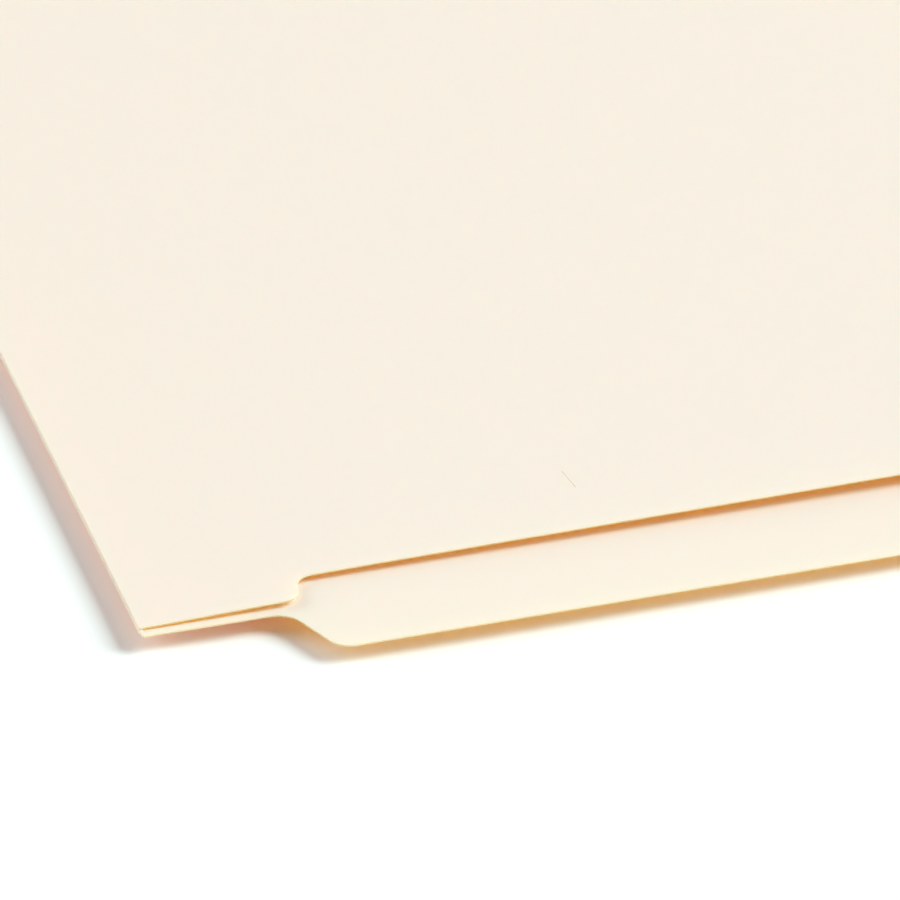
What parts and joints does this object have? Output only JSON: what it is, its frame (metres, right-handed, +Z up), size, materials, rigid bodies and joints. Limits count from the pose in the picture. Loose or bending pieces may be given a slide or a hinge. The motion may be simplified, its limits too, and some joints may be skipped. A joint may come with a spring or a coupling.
{
  "type": "end-tab file folder",
  "caption": "Closed manila file folder: a back leaf with a long tab on its short end, a rolled crease, and a stepped front leaf that swings open flat on the fold to take loose papers.",
  "frame": {"origin": "middle of the footprint, on the underside of the back leaf", "axes": "+Z up off the table; +Y along the fold, away from the tab; +X from the fold to the free edge"},
  "size_m": [0.2414, 0.3112, 0.0038],
  "materials": {
    "manila_stock": "uncoated calendered manila card, matt, cut edges"
  },
  "bodies": {
    "back": {"back_leaf": "manila_stock", "fold_crease": "manila_stock"},
    "front": {"front_leaf": "manila_stock"}
  },
  "joints": [
    {"name": "fold_hinge", "type": "hinge", "parent": "back", "child": "front", "pos_m": [-0.12023, 0, 0.00042], "axis": [0, -1, 0], "range_deg": [0, 178], "deforming": ["fold_crease"]}
  ]
}
